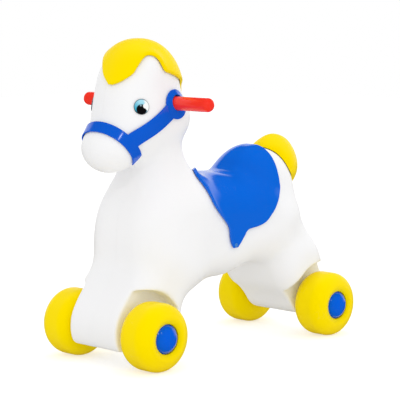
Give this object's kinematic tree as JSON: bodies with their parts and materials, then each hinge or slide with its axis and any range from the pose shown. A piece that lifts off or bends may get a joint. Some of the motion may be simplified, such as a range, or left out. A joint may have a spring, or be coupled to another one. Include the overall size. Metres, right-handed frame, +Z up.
{
  "type": "ride-on pony",
  "caption": "Child's ride-on pony: hollow moulded body on rolling wheels, with saddle, bridle, mane, tail and a handle bar through the head.",
  "frame": {"origin": "middle of the overall box in X and Y, on the floor plane under the wheels", "axes": "+Z up, the pony faces -Y, +X is the pony's left side"},
  "size_m": [0.281, 0.499, 0.4976],
  "materials": {
    "white_plastic": "satin",
    "yellow_plastic": "satin",
    "blue_plastic": "satin",
    "red_plastic": "satin",
    "steel": "bright zinc plate",
    "nylon": "matt",
    "eye_print": "gloss print"
  },
  "bodies": {
    "pony": {"body_shell": "white_plastic", "mane": "yellow_plastic", "tail": "yellow_plastic", "saddle": "blue_plastic", "bridle": "blue_plastic", "eye_left": "eye_print", "eye_right": "eye_print", "saddle_rivet_left": "blue_plastic", "saddle_rivet_right": "blue_plastic", "handle_tube": "steel", "grip_left": "red_plastic", "grip_right": "red_plastic", "axle_front": "steel", "axle_rear": "steel", "push_nut_front_left": "steel", "push_nut_front_right": "steel", "push_nut_rear_left": "steel", "push_nut_rear_right": "steel"},
    "front_left_wheel": {"wheel_front_left": "yellow_plastic", "bush_front_left": "nylon", "hub_cap_front_left": "blue_plastic"},
    "front_right_wheel": {"wheel_front_right": "yellow_plastic", "bush_front_right": "nylon", "hub_cap_front_right": "blue_plastic"},
    "rear_left_wheel": {"wheel_rear_left": "yellow_plastic", "bush_rear_left": "nylon", "hub_cap_rear_left": "blue_plastic"},
    "rear_right_wheel": {"wheel_rear_right": "yellow_plastic", "bush_rear_right": "nylon", "hub_cap_rear_right": "blue_plastic"}
  },
  "joints": [
    {"name": "front_left_roll", "type": "hinge", "parent": "pony", "child": "front_left_wheel", "pos_m": [0.0884, -0.197, 0.0525], "axis": [1, 0, 0], "continuous": true},
    {"name": "front_right_roll", "type": "hinge", "parent": "pony", "child": "front_right_wheel", "pos_m": [-0.0884, -0.197, 0.0525], "axis": [1, 0, 0], "continuous": true},
    {"name": "rear_left_roll", "type": "hinge", "parent": "pony", "child": "rear_left_wheel", "pos_m": [0.0884, 0.197, 0.0525], "axis": [1, 0, 0], "continuous": true},
    {"name": "rear_right_roll", "type": "hinge", "parent": "pony", "child": "rear_right_wheel", "pos_m": [-0.0884, 0.197, 0.0525], "axis": [1, 0, 0], "continuous": true}
  ]
}
